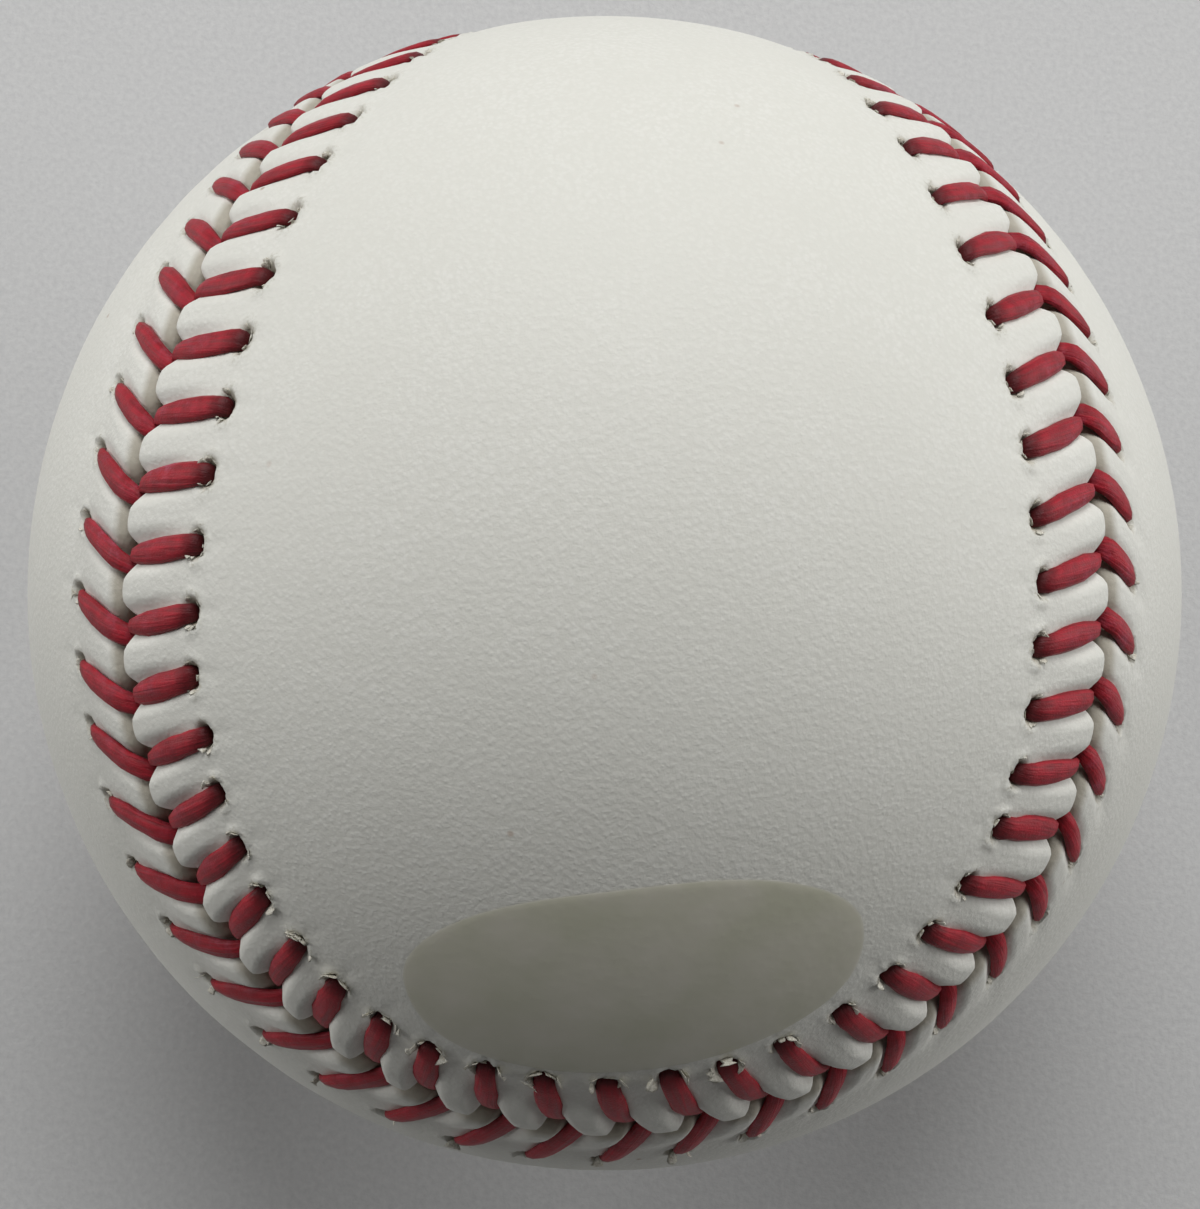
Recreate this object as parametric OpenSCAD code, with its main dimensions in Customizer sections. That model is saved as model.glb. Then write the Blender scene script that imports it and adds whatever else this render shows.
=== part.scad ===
// A baseball: a cork pill in rubber, four yarn windings and a two-piece leather cover laced with waxed thread.
// The origin is the middle of the ball. One panel crosses +Y and covers both ends of Z,
// the other crosses -Y and covers both ends of X, and the seam between them is one closed curve.

/* [Ball] */
// Diameter of the ball over its smooth leather
ball_d = 74; // [73:0.5:76]

/* [Cover] */
// Thickness of the leather
leather_t = 1.3; // [1:0.1:1.6]
// Width of the valley between the two panels
valley_w = 0.5; // [0.3:0.1:0.7]
// Depth of the bite that each stitch pulls into a panel's edge
bite_depth = 0.65; // [0.6:0.05:0.8]
// Width of the leather pillow between two stitches
pillow_w = 1.8; // [1.6:0.05:1.8]
// Height of a pillow above the smooth leather
pillow_rise = 0.45; // [0.35:0.05:0.5]
// Distance of a pillow's front from the panel's edge
pillow_setback = 0.2; // [0.2:0.05:0.3]

/* [Lacing] */
// Number of double stitches round the seam, in fours
stitch_count = 108; // [100:4:108]
// Distance from the middle of the seam to the middle of a stitch hole
hole_offset = 5; // [4.5:0.1:5.5]
// Distance that each hole lies behind the point of its stitch
stitch_lean = 1.8; // [1.2:0.1:2]
// Clearance between the thread and the far side of its hole
hole_clearance = 0.15; // [0.1:0.05:0.25]
// Width of the thread at the middle of a stitch, where it is pressed flat
thread_w = 1.6; // [1.3:0.1:1.6]
// Width of the thread where it turns down
thread_end_w = 1; // [0.8:0.05:1]
// Thickness of the thread
thread_t = 0.6; // [0.4:0.05:0.6]
// Clearance between the thread and the leather round it
thread_clearance = 0.05; // [0.02:0.01:0.08]

/* [Core] */
// Diameter of the cork ball
cork_d = 20.6; // [18:0.2:22]
// Thickness of the black rubber shells
black_rubber_t = 4; // [3:0.25:5]
// Thickness of the washer between the two black shells
washer_t = 0.8; // [0.5:0.1:1.5]
// Thickness of the red rubber layer
red_rubber_t = 2.35; // [1.5:0.05:3]

/* [Windings] */
// Thickness of the second winding, white wool
second_winding_t = 1.75; // [1:0.25:2.5]
// Thickness of the third winding, grey wool
third_winding_t = 2.25; // [1.5:0.25:3]
// Thickness of the finishing winding, fine white yarn
finishing_winding_t = 0.5; // [0.3:0.1:0.8]
// Clearance between one layer and the next
layer_clearance = 0.05; // [0.02:0.01:0.1]

/* [Hidden] */
$fn = 72;

// Radii from the leather inwards, and from the cork outwards. The first winding fills what is left.
ball_r = ball_d / 2;
leather_inner_r = ball_r - leather_t;
finishing_r = leather_inner_r - layer_clearance;
third_r = finishing_r - finishing_winding_t - layer_clearance;
second_r = third_r - third_winding_t - layer_clearance;
first_r = second_r - second_winding_t - layer_clearance;
cork_r = cork_d / 2;
black_inner_r = cork_r + layer_clearance;
black_r = black_inner_r + black_rubber_t;
red_inner_r = black_r + layer_clearance;
red_r = red_inner_r + red_rubber_t;

// The seam on a ball of radius one: its two waves add up to one, and the share of the second
// sets how narrow the waist of a panel is.
waist_share = 0.32;
long_wave = 1 - waist_share;
cross_wave = 2 * sqrt(long_wave * waist_share);

function unit(v) = v / norm(v);
function seam(turn) = unit([
    long_wave * cos(turn) - waist_share * cos(3 * turn),
    cross_wave * cos(2 * turn),
    -long_wave * sin(turn) - waist_share * sin(3 * turn)
]);

// Distance run along the seam, so that places on it can be given as shares of its length.
seam_steps = 720;
function step_turn(i) = 360 * i / seam_steps;
seam_runs = [
    for (i = 0, run = 0; i <= seam_steps; run = run + norm(seam(step_turn(i + 1)) - seam(step_turn(i))), i = i + 1)
        [run, step_turn(i)]
];
seam_run = seam_runs[seam_steps][0];
function turn_at(share) = lookup((share - floor(share)) * seam_run, seam_runs);
function heading(turn) = let (d = 0.1) unit(seam(turn + d) - seam(turn - d));

// Direction of the point that lies so far ahead along the seam and so far into the front panel.
function beside_seam(share, ahead, inward) = let (turn = turn_at(share), forward = heading(turn))
    unit(ball_r * seam(turn) + ahead * forward + inward * cross(seam(turn), forward));

// Places along the seam counted in stitches. The first stitch lies a little before the seam's start.
first_stitch_share = 0.83;
function stitch_share(k) = (k + first_stitch_share) / stitch_count;
pitch = seam_run * ball_r / stitch_count;

// Puts children at a place, with +Z along one direction and +X as near as it can be to another.
module placed(place, up, towards) {
    z = unit(up);
    y = unit(cross(z, towards));
    x = cross(y, z);
    multmatrix([
        [x[0], y[0], z[0], place[0]],
        [x[1], y[1], z[1], place[1]],
        [x[2], y[2], z[2], place[2]],
        [0, 0, 0, 1]
    ]) children();
}

// Turns what belongs to the front panel into its partner on the back panel.
module on_back_panel() {
    rotate([0, 90, 0]) mirror([0, 1, 0]) children();
}

module hollow_ball(outer_r, inner_r) {
    difference() {
        sphere(r = outer_r);
        sphere(r = inner_r);
    }
}

module upper_half(outer_r, floor_z) {
    translate([-outer_r, -outer_r, floor_z]) cube([2 * outer_r, 2 * outer_r, outer_r]);
}

// Pill
module cork_core() {
    color("burlywood") sphere(r = cork_r);
}

module black_rubber_shell_top() {
    color("dimgray") intersection() {
        hollow_ball(black_r, black_inner_r);
        upper_half(black_r, washer_t / 2 + layer_clearance);
    }
}

module black_rubber_shell_bottom() {
    color("dimgray") intersection() {
        hollow_ball(black_r, black_inner_r);
        mirror([0, 0, 1]) upper_half(black_r, washer_t / 2 + layer_clearance);
    }
}

module rubber_washer() {
    color("firebrick") intersection() {
        hollow_ball(black_r, black_inner_r);
        translate([-black_r, -black_r, -washer_t / 2]) cube([2 * black_r, 2 * black_r, washer_t]);
    }
}

module red_rubber_layer() {
    color("indianred") hollow_ball(red_r, red_inner_r);
}

// Windings
module first_winding() {
    color("gray") hollow_ball(first_r, red_r + layer_clearance);
}

module second_winding() {
    color("whitesmoke") hollow_ball(second_r, first_r + layer_clearance);
}

module third_winding() {
    color("darkgray") hollow_ball(third_r, second_r + layer_clearance);
}

module finishing_winding() {
    color("white") hollow_ball(finishing_r, third_r + layer_clearance);
}

// Cover
// Edge of the front panel: four corners a stitch, two of them pulled in to make room for the thread.
corner_shares = [0.11, 0.27, 0.73, 0.89];
corners_per_stitch = len(corner_shares);
edge_corners = corners_per_stitch * stitch_count;
function corner_bite(corner) = corner == 0 || corner == corners_per_stitch - 1 ? bite_depth : 0;
edge = [
    for (k = [0:stitch_count - 1]) for (corner = [0:corners_per_stitch - 1])
        beside_seam(stitch_share(k + corner_shares[corner]), 0, valley_w / 2 + corner_bite(corner))
];

// Cone from the middle of the ball through that edge. Rungs join its two sides from one tip to the other.
rung_parts = 3;
cone_reach_share = 1.4;
module panel_cone() {
    rungs = edge_corners / 2;
    tip = floor(edge_corners / 4 - first_stitch_share * corners_per_stitch);
    reach = cone_reach_share * ball_r;
    function corner(i) = edge[(i + edge_corners) % edge_corners];
    function rung_point(i, j) = reach * unit(corner(tip - i) * (rung_parts - j) + corner(tip + i) * j);
    function number(i, j) = i == 0 ? 1 : i == rungs ? 2 : 3 + (i - 1) * (rung_parts + 1) + j;
    points = concat(
        [[0, 0, 0], reach * corner(tip), reach * corner(tip + rungs)],
        [for (i = [1:rungs - 1]) for (j = [0:rung_parts]) rung_point(i, j)]
    );
    faces = concat(
        [for (i = [0:rungs - 1]) [0, number(i + 1, 0), number(i, 0)]],
        [for (i = [0:rungs - 1]) [0, number(i, rung_parts), number(i + 1, rung_parts)]],
        [for (i = [0:rungs - 2]) for (j = [0:rung_parts - 1]) [number(i, j), number(i + 1, j), number(i + 1, j + 1)]],
        [for (i = [1:rungs - 1]) for (j = [0:rung_parts - 1]) [number(i, j), number(i + 1, j + 1), number(i, j + 1)]]
    );
    polyhedron(points, faces);
}

// Ball turned so that its poles, and the line that runs between them, lie clear of the front panel.
module turned_ball(r) {
    rotate([-90, 0, 0]) rotate([0, 90, 0]) sphere(r = r);
}

// Pillow of leather that swells up between stitch k and the next: the outer half of a rod with round
// ends. It lies in the leather from the panel's edge to near the holes and sinks in towards them.
pillow_r = pillow_w / 2;
module pillow_form(length) {
    rotate([0, 0, -90]) rotate_extrude(angle = 180) intersection() {
        union() {
            circle(r = pillow_r);
            translate([0, length]) circle(r = pillow_r);
            translate([-pillow_r, 0]) square([pillow_w, length]);
        }
        translate([0, -pillow_r]) square([pillow_r, length + pillow_w]);
    }
}

module pillow(k) {
    front_in = valley_w / 2 + pillow_setback + pillow_r;
    back_in = hole_offset - pillow_r + hole_clearance;
    lean = stitch_lean / hole_offset;
    front_way = beside_seam(stitch_share(k + 0.5), -lean * front_in, front_in);
    back_way = beside_seam(stitch_share(k + 0.5), -lean * back_in, back_in);
    front = front_way * (ball_r + pillow_rise - pillow_r);
    back = back_way * (ball_r - leather_t / 2);
    placed(front, back - front, front) pillow_form(norm(back - front));
}

// One panel, with its thickness, its pillows and its row of round holes.
hole_d = thread_end_w + 2 * hole_clearance;
function hole_way(k) = beside_seam(stitch_share(k), -stitch_lean, hole_offset);
module cover_panel() {
    difference() {
        union() {
            difference() {
                intersection() {
                    turned_ball(ball_r);
                    panel_cone();
                }
                turned_ball(leather_inner_r);
            }
            for (k = [0:stitch_count - 1]) pillow(k);
        }
        for (k = [0:stitch_count - 1])
            placed(hole_way(k) * (leather_inner_r - leather_t), hole_way(k), heading(turn_at(stitch_share(k))))
                cylinder(d = hole_d, h = 3 * leather_t);
    }
}

module cover_panel_front() {
    color("ivory") cover_panel();
}

module cover_panel_back() {
    color("ivory") on_back_panel() cover_panel();
}

// Lacing
// One leg of stitch k on the front panel: it comes up out of the valley, lies flat on the leather
// between two pillows and turns down into its hole, against the side nearest to the seam.
thread_r = ball_r + thread_clearance;
prong_w = thread_end_w - 2 * thread_clearance;
prong_slack = hole_d / 2 - prong_w / 2 - thread_clearance;
module leg(k) {
    seam_way = beside_seam(stitch_share(k), 0, thread_clearance);
    hole = hole_way(k);
    axis = cross(seam_way, hole);
    span = asin(norm(axis));
    reach = thread_r * sin(span / 2);
    prong_span = span - asin(prong_slack / thread_r);
    placed([0, 0, 0], axis, seam_way) {
        intersection() {
            rotate_extrude(angle = span) strap_section();
            rotate([0, 0, span / 2]) rotate([0, 90, 0]) linear_extrude(thread_r + 2 * thread_t) leg_outline(2 * reach);
        }
        translate([leather_inner_r + thread_clearance, 0, -prong_w / 2])
            cube([leather_t + thread_t / 2, thread_t, prong_w]);
        rotate([0, 0, prong_span]) rotate([0, 90, 0]) translate([0, 0, leather_inner_r + thread_clearance])
            cylinder(d = prong_w, h = leather_t + thread_t / 2);
    }
}

// Outline of a leg seen from above: full width over the middle, drawn in towards both ends.
module leg_outline(length) {
    shoulder = length / 5;
    polygon([
        [-thread_end_w / 2, -length],
        [thread_end_w / 2, -length],
        [thread_end_w / 2, -length / 2],
        [thread_w / 2, -shoulder],
        [thread_w / 2, shoulder],
        [thread_end_w / 2, length / 2],
        [thread_end_w / 2, length],
        [-thread_end_w / 2, length],
        [-thread_end_w / 2, length / 2],
        [-thread_w / 2, shoulder],
        [-thread_w / 2, -shoulder],
        [-thread_end_w / 2, -length / 2]
    ]);
}

// Section of the flattened thread, with its upper corners worn round.
module strap_section() {
    polygon([
        [thread_r, -thread_w / 2],
        [thread_r + thread_t / 2, -thread_w / 2],
        [thread_r + thread_t, -thread_w / 4],
        [thread_r + thread_t, thread_w / 4],
        [thread_r + thread_t / 2, thread_w / 2],
        [thread_r, thread_w / 2]
    ]);
}

// The two ends of the thread take turns: each crosses the valley at every stitch.
module lacing_strand(first) {
    for (k = [first:2:stitch_count - 1]) {
        leg(k);
        on_back_panel() leg(k);
    }
}

module lacing_strand_one() {
    color("crimson") lacing_strand(0);
}

module lacing_strand_two() {
    color("crimson") lacing_strand(1);
}

cork_core();
black_rubber_shell_top();
black_rubber_shell_bottom();
rubber_washer();
red_rubber_layer();
first_winding();
second_winding();
third_winding();
finishing_winding();
cover_panel_front();
cover_panel_back();
lacing_strand_one();
lacing_strand_two();
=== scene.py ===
# %% [markdown]
# # A baseball
# A hard ball has a cork and rubber pill in the middle, four layers of yarn wound on it and a cover of two
# leather panels laced together with red waxed thread. This lesson makes the cover, the lacing and the film
# label as fine pieces, and gives the plain solids inside their finishes. The solid model is loaded first,
# because every new piece lies in its frame, in metres, with the middle of the ball as the origin.

# %% Load the solid model
import math

import bmesh
import bpy
import numpy as np
from mathutils import Matrix, Vector, noise


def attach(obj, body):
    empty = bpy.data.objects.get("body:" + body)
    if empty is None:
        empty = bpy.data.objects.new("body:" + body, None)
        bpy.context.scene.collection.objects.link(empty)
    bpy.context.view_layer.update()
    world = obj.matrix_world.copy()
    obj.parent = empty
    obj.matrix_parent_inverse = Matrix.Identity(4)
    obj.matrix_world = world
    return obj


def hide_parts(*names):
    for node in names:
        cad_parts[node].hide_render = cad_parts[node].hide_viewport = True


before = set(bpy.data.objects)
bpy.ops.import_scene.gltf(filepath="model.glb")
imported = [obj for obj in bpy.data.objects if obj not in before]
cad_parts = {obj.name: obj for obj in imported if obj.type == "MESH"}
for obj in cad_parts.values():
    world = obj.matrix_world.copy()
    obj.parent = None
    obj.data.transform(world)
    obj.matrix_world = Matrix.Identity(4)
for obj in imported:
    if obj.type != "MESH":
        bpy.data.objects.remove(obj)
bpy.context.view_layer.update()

MM = 0.001
FRONT, BACK = 1, -1  # the side of the seam on which something lies, seen from the seam
BALL_R = 37 * MM
LEATHER_T = 1.3 * MM
STITCHES = 108
rng = np.random.default_rng(12)

# %% [markdown]
# ## The seam
# The seam is one closed curve. Seen from the middle of the ball it is a wide wave along Z and X with a
# quicker wave added, and it crosses over between +Y and -Y. It could be drawn by hand as a curve object, but
# a formula gives the direction of the seam anywhere. Places on the ball are told by the number of the
# nearest stitch, the way ahead along the seam and the way in from the seam towards the front panel, which is
# the same way as the solid model tells them.

# %% The seam's curve
WAIST_SHARE = 0.32
FIRST_STITCH_SHARE = 0.83


def unit(v):
    return v / np.linalg.norm(v, axis=-1, keepdims=True)


def seam_way(turn):
    """Direction from the middle of the ball to the seam."""
    long_wave = 1 - WAIST_SHARE
    cross_wave = 2 * math.sqrt(long_wave * WAIST_SHARE)
    return unit(np.stack([
        long_wave * np.cos(turn) - WAIST_SHARE * np.cos(3 * turn),
        cross_wave * np.cos(2 * turn),
        -long_wave * np.sin(turn) - WAIST_SHARE * np.sin(3 * turn),
    ], axis=-1))


seam_turns = np.linspace(0, 2 * math.pi, 7201)
seam_points = seam_way(seam_turns)
seam_runs = np.concatenate([[0], np.cumsum(np.linalg.norm(np.diff(seam_points, axis=0), axis=1))])
PITCH = seam_runs[-1] * BALL_R / STITCHES
print(f"seam {seam_runs[-1] * BALL_R / MM:.1f} mm long, a stitch every {PITCH / MM:.2f} mm")


# %% Places beside the seam
def frame_at(stitch):
    """Directions out, ahead and into the front panel, at a place on the seam counted in stitches."""
    share = ((np.asarray(stitch, float) + FIRST_STITCH_SHARE) / STITCHES) % 1
    turn = np.interp(share * seam_runs[-1], seam_runs, seam_turns)
    out = seam_way(turn)
    ahead = unit(seam_way(turn + 1e-4) - seam_way(turn - 1e-4))
    return out, ahead, np.cross(out, ahead)


def beside_seam(stitch, ahead, inward):
    """Direction of the place so far ahead along the seam and so far into the front panel."""
    out, forward, side = frame_at(stitch)
    ahead, inward = np.asarray(ahead)[..., None], np.asarray(inward)[..., None]
    return unit(BALL_R * out + ahead * forward + inward * side)


print("way out at the first stitch:", beside_seam(0, 0.0, 0.0).round(3))

# %% [markdown]
# ## How a worker's hands vary
# No two stitches are pulled alike. Round the ball the holes lie more or less behind the point of their
# stitch and nearer to the seam or farther off, and the seam itself wanders a little. Chance alone would
# look nervous, because a worker's pull changes slowly from stitch to stitch. So a table says it at a few
# stitches, it runs smoothly between them, and only a little chance is added for each hole.

# %% A table of the sewing
HAND = {
    # stitch: front hole behind and in, back hole behind and in, wander of the seam, start of the front leg,
    # all in mm. Between stitch 104 and stitch 50, round the far side, the stitches are average ones.
    50: (1.8, 5.2, 1.8, 5.0, 0.0, -0.2),
    62: (0.9, 5.7, 2.0, 4.5, 0.1, -0.1),
    66: (0.6, 6.4, 2.3, 4.3, 0.2, -0.1),
    70: (1.0, 5.4, 2.0, 5.5, -0.5, 0.0),
    74: (2.3, 5.2, 2.1, 6.1, -0.4, -0.8),
    78: (2.75, 5.7, 2.35, 6.6, -0.3, -1.6),
    80: (2.2, 6.5, 2.6, 6.2, 0.0, -1.35),
    82: (1.1, 6.8, 2.7, 5.4, -0.2, -0.9),
    86: (0.3, 5.5, 2.05, 4.5, -1.0, -0.4),
    89: (0.8, 4.6, 1.8, 4.7, -1.4, -0.2),
    92: (1.6, 5.1, 1.45, 4.3, -0.9, -0.2),
    95: (2.3, 5.7, 1.35, 3.9, -0.4, 0.0),
    99: (2.35, 6.3, 1.8, 4.3, 0.1, 0.1),
    104: (1.8, 5.2, 1.8, 5.0, 0.0, -0.1),
}
FRONT_BEHIND, FRONT_IN, BACK_BEHIND, BACK_IN, WANDER, FRONT_START = range(6)
BACK_START = 0.4 * MM
HOLE_CHANCE = 0.08 * MM
behind_chance = {side: rng.normal(0, HOLE_CHANCE, STITCHES) for side in (FRONT, BACK)}
hole_chance = {side: rng.normal(0, HOLE_CHANCE, STITCHES) for side in (FRONT, BACK)}
print("stitches in the sewing table:", len(HAND))


# %% Reading the table
def by_hand(column, stitch):
    """A column of the table at any place along the seam."""
    return np.interp(stitch, list(HAND), [row[column] for row in HAND.values()], period=STITCHES) * MM


def lean(side, stitch):
    """How far the hole of each stitch lies behind its point."""
    number = np.rint(stitch).astype(int) % STITCHES
    return by_hand(FRONT_BEHIND if side == FRONT else BACK_BEHIND, number) + behind_chance[side][number]


def start_ahead(side, stitch):
    """How far ahead of the point of its stitch a leg starts at the seam."""
    return by_hand(FRONT_START, stitch) if side == FRONT else np.full(np.shape(stitch), BACK_START)


def hole_in(side, stitch):
    """How far the hole of each stitch lies from the middle of the seam, where it really runs."""
    number = np.rint(stitch).astype(int) % STITCHES
    from_curve = by_hand(FRONT_IN if side == FRONT else BACK_IN, number)
    return from_curve - side * by_hand(WANDER, number) + hole_chance[side][number]


def beside_sewn_seam(stitch, ahead, inward):
    """Like beside_seam, measured from where the seam really runs."""
    return beside_seam(stitch, ahead, inward + by_hand(WANDER, np.asarray(stitch)))


def ease(x, start, end):
    """Goes smoothly from 0 at start to 1 at end."""
    t = np.clip((x - start) / (end - start), 0, 1)
    return t * t * (3 - 2 * t)


front_behind = lean(FRONT, np.arange(STITCHES)) / MM
print(f"front holes lie {front_behind.min():.1f} to {front_behind.max():.1f} mm behind their points")

# %% [markdown]
# ## The form of the leather
# The thread pulls the cover down along the seam, and between two stitches the leather swells up in a small
# round pillow that hangs over the valley. Under a stitch it is pinched in. Each hole is a pit with a torn
# rim. This could be sculpted, or pushed up by a cloth simulation, but there are 216 holes that all differ a
# little. So the height over the ball is a sum of a few smooth bumps, worked out in millimetres.

# %% Sizes of the bumps, in mm
PILLOW_RISE = {FRONT: 0.46, BACK: 0.36}
PILLOW_REACH = {FRONT: 6.6, BACK: 6.0}  # where it ends, and it starts to fall at PILLOW_TOP
PILLOW_TOP = 1.8
PINCH = (0.35, 1.4)  # beside a leg, the pillow rises between these
TIGHT_RISE = 0.8  # how much higher a pillow is where the thread is pulled in by 1 mm more
TIGHT_SHORTER = 2.5  # and how much shorter
EDGE_IN = {FRONT: 0.25, BACK: 0.2}  # the way from the seam's middle to the front of a pillow
BITE = {FRONT: 1.4, BACK: 0.4}  # how much farther in the edge lies under a leg
EDGE_ROLL = {FRONT: 0.4, BACK: 1.05}  # radius of the rolled edge
LEG_HALF = 0.3  # the edge runs straight so far each side of a leg
PIT = {FRONT: (0.72, 0.5), BACK: (0.5, 0.42)}  # half a hole's size along the seam and across it
PIT_DEPTH = 0.75
RIM_RISE, RIM_VARIES = 0.08, 0.14  # height of a torn rim, and what chance adds
FURROW_DEPTH = 0.05
WAVE_SIZE, WAVE_DEPTH, WAVE_START = 7, 0.06, 0.005  # the leather's long soft waves
STRIP_DEPTH, STRIP_HALF = 0.25, 6.8  # the strip along the seam that the lacing pulls down
HOOK = {FRONT: 0.9, BACK: 0.0}  # how far tight legs bend ahead at the seam, for each mm of tightness
HOOK_END = 0.4  # share of the way to the hole at which that bend ends
TIGHT_STITCHES = [70, 76, 80, 84, 89]
TIGHT_BY = [0.0, 0.45, 0.6, 0.45, 0.0]
print(f"pillows rise {PILLOW_RISE[FRONT]} mm in front and {PILLOW_RISE[BACK]} mm behind")


# %% Edge, strip and tight stitches
def edge_in(side, off_leg):
    """How far the leather's edge lies from the middle of the seam. The fronts of the pillows are round."""
    to_middle = np.clip((np.abs(off_leg) - LEG_HALF) / (PITCH / MM / 2 - LEG_HALF), 0, 1)
    return EDGE_IN[side] + BITE[side] * (1 - np.sqrt(1 - (1 - to_middle) ** 2))


def tightness(stitch):
    """How much deeper than usual the thread is pulled in, in mm."""
    return np.interp(stitch % STITCHES, TIGHT_STITCHES, TIGHT_BY, left=0, right=0)


def strip(inward):
    """Height of the strip along the seam that is pulled down."""
    return -STRIP_DEPTH * np.exp(-((inward / STRIP_HALF) ** 4))


def sink(side, stitch, inward):
    """How deep the pull of the thread sinks the leather. At a few tight stitches the valley is deeper."""
    valley = np.exp(-(((side * inward + 0.6) / 3.2) ** 2))
    return strip(inward) - tightness(stitch) * valley


def way_to_pit(side, off_leg, inward, hole):
    """1 at the rim of the hole and less inside."""
    return np.hypot(off_leg / PIT[side][0], (inward - hole) / PIT[side][1])


def ahead_of_point(side, stitch, share, leaning):
    """How far ahead of its stitch's point a leg lies at a share of its way from the seam to its hole."""
    hook = HOOK[side] * tightness(stitch) * (1 - ease(share, 0, HOOK_END))
    return start_ahead(side, stitch) * (1 - share) - leaning * share + hook * MM


def long_wave(ways):
    """Height in mm of the leather's long soft waves. They only sink in, so it stays inside the ball."""
    waves = np.array([noise.noise(Vector(way) * BALL_R / (WAVE_SIZE * MM)) for way in ways])
    return -WAVE_START - WAVE_DEPTH * waves ** 2


print(f"valley {-sink(FRONT, 0.0, 0.0):.2f} mm deep, at stitch 80 {-sink(FRONT, 80.0, 0.0):.2f} mm")

# %% Height of the leather
def leather_height(side, stitch, off_leg, inward, hole, chance):
    """Height over the ball at off_leg from the nearest stitch's leg and inward from the seam, all in mm."""
    tight = tightness(stitch)
    between = ease(np.abs(off_leg), *PINCH)
    falling = ease(inward, PILLOW_TOP - tight, PILLOW_REACH[side] - TIGHT_SHORTER * tight)
    pillow = (PILLOW_RISE[side] + TIGHT_RISE * tight) * between * (1 - falling)
    pit_way = way_to_pit(side, off_leg, inward, hole)
    pit = -PIT_DEPTH * np.exp(-(pit_way ** 3))
    rim_ring = np.exp(-(((pit_way - 1.5) / 0.3) ** 2)) * ease(inward, hole - 0.5, hole + 0.2)
    rim = (RIM_RISE + RIM_VARIES * chance) * rim_ring
    # Behind the hole the leather keeps a shallow furrow from the thread below it.
    furrow_ends = np.exp(-(((inward - hole - 1.3) / 1.1) ** 2))
    furrow = -FURROW_DEPTH * np.exp(-((off_leg / 0.5) ** 2)) * furrow_ends
    return sink(side, stitch, inward) + pillow + pit + rim + furrow


for place, off_leg, inward in (("a pillow's top", PITCH / MM / 2, 2.0), ("a hole's middle", 0.0, 5.0)):
    print(f"{place}: {float(leather_height(FRONT, 0.0, off_leg, inward, 5.0, 0.5)):.2f} mm over the ball")


# %% [markdown]
# ## Sheets of points
# Every piece here starts as a flat grid. Each point of the grid knows its column and its row, and is then
# carried to its place. Where the first column meets the last, the doubled points are merged. A grid keeps
# the faces even and in rows along the seam, which cutting a shape out of a round ball wouldn't.

# %% A flat grid
def sheet(columns, rows):
    """A flat grid with its points' column and row numbers."""
    bm = bmesh.new()
    bmesh.ops.create_grid(bm, x_segments=columns, y_segments=rows, size=1)
    flat = np.array([v.co[:2] for v in bm.verts])
    column, row = (np.rint((flat[:, i] + 1) / 2 * n).astype(int) for i, n in enumerate((columns, rows)))
    return bm, column, row


# %% Making the piece
def finished(bm, name, places, layers=None, crease=180):
    """Puts the points in their places, merges doubles and makes the piece, which rides on the ball.

    layers are values of each point that the finishes read. Edges bent by more than crease degrees stay sharp.
    """
    for layer_name, values in (layers or {}).items():
        layer = bm.verts.layers.float.new(layer_name)
        for v, value in zip(bm.verts, values):
            v[layer] = value
    for v, place in zip(bm.verts, places):
        v.co = place
    bmesh.ops.remove_doubles(bm, verts=bm.verts, dist=0.0005 * MM)
    bmesh.ops.dissolve_degenerate(bm, edges=bm.edges, dist=0.0001 * MM)
    bmesh.ops.recalc_face_normals(bm, faces=bm.faces)
    for face in bm.faces:
        face.smooth = True
    for edge in bm.edges:
        edge.smooth = edge.calc_face_angle(0) < math.radians(crease)
    mesh = bpy.data.meshes.new(name)
    open_edges = sum(1 for edge in bm.edges if not edge.is_manifold)
    bm.to_mesh(mesh)
    bm.free()
    piece = bpy.data.objects.new(name, mesh)
    bpy.context.scene.collection.objects.link(piece)
    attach(piece, "root")
    print(f"{name}: {len(mesh.polygons)} faces, {open_edges} open edges")
    return piece


# %% [markdown]
# ## The two leather panels
# A panel is one grid: its columns run across the seam and its rows run from the underside, round the
# rolled edge and over the top to the panel's spine, where the columns from both sides meet. The columns
# lean as the stitches do, so a leg of thread always lies along a column. They stand closer at the legs,
# where the leather turns sharply, because that is cheaper than more columns everywhere.

# %% Sizes of a panel's grid
COLUMNS_PER_STITCH = 18
BAND_END = 9.0  # mm from the seam to where the leaning columns end and the spine's begin
LEAN_END = 6.5  # mm from the seam to where they stop leaning
SPINE_WAY = 10.0  # mm that the heights count from BAND_END to the spine
FLAT_WAY = 4.0  # mm from the seam to the underside's row between the wall and BAND_END
NAP_SIZE, NAP_RISE = 0.45, 0.12  # grains of the torn rims
WALL_OUT = 0.2  # mm by which the wall's foot stands farther in than its top
TOP_ROWS = np.concatenate([np.arange(0, 4.9, 0.25), np.linspace(5.1, 7.0, 6)])
TOP_SPAN = 7.4  # the rows of the top are counted up to this, at BAND_END
ROLL_ROWS = (0, 18, 36, 54, 72)  # degrees round the rolled edge
EDGE_SHADE_FADE = {FRONT: (20, 60), BACK: (50, 88)}  # degrees round the rolled edge between which its painted shade fades out


# %% Rows and columns of a panel
def closer_to_legs(stitch):
    """Moves evenly spaced columns towards the legs of the thread."""
    number = np.rint(stitch)
    off = stitch - number
    return number + 0.5 * np.sign(off) * np.abs(2 * off) ** 1.5


def panel_plan():
    """The rows of a panel: the kind of each, and how far along or round it lies."""
    plan = [("under", share) for share in (1.0, 0.5, 0.0)]
    plan += [("flat", FLAT_WAY), ("wall", 0.0), ("wall", 0.5)]
    plan += [("roll", angle) for angle in ROLL_ROWS]
    plan += [("top", way) for way in TOP_ROWS]
    return plan + [("spine", share) for share in np.linspace(0, 1, 9)]


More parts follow.
